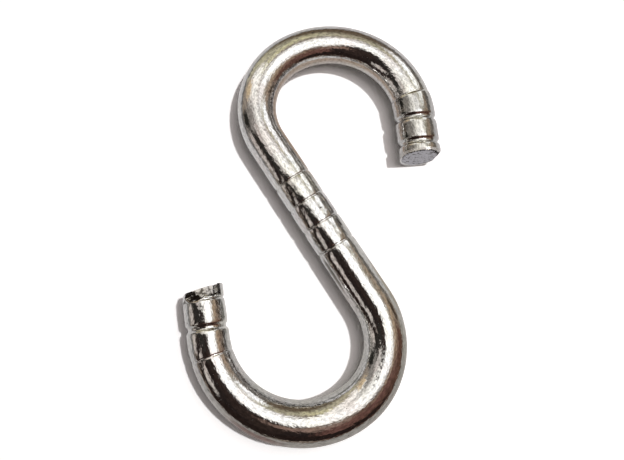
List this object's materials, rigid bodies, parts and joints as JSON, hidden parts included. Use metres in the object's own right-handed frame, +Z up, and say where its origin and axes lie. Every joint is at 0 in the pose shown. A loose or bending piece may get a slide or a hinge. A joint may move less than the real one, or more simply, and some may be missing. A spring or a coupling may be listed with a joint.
{
  "type": "s hook",
  "caption": "S hook bent from one round steel bar, two open hooks facing opposite ways, ring marks on shank and tips, one tip cropped and one sheared.",
  "frame": {"origin": "middle of the load line between the two crowns, at the level of the surface that the hook lies on", "axes": "+Z up out of the side that the hook lies on, +Y along the load line from the lower crown to the upper crown, +X towards the side that the upper hook opens round to"},
  "size_m": [0.0568, 0.1044, 0.0104],
  "materials": {
    "bright_zinc_plate": "bright zinc plate with a faint yellow and pink passivate tint, fine grain and small pits, over steel"
  },
  "bodies": {
    "root": {"hook": "bright_zinc_plate"}
  },
  "joints": []
}
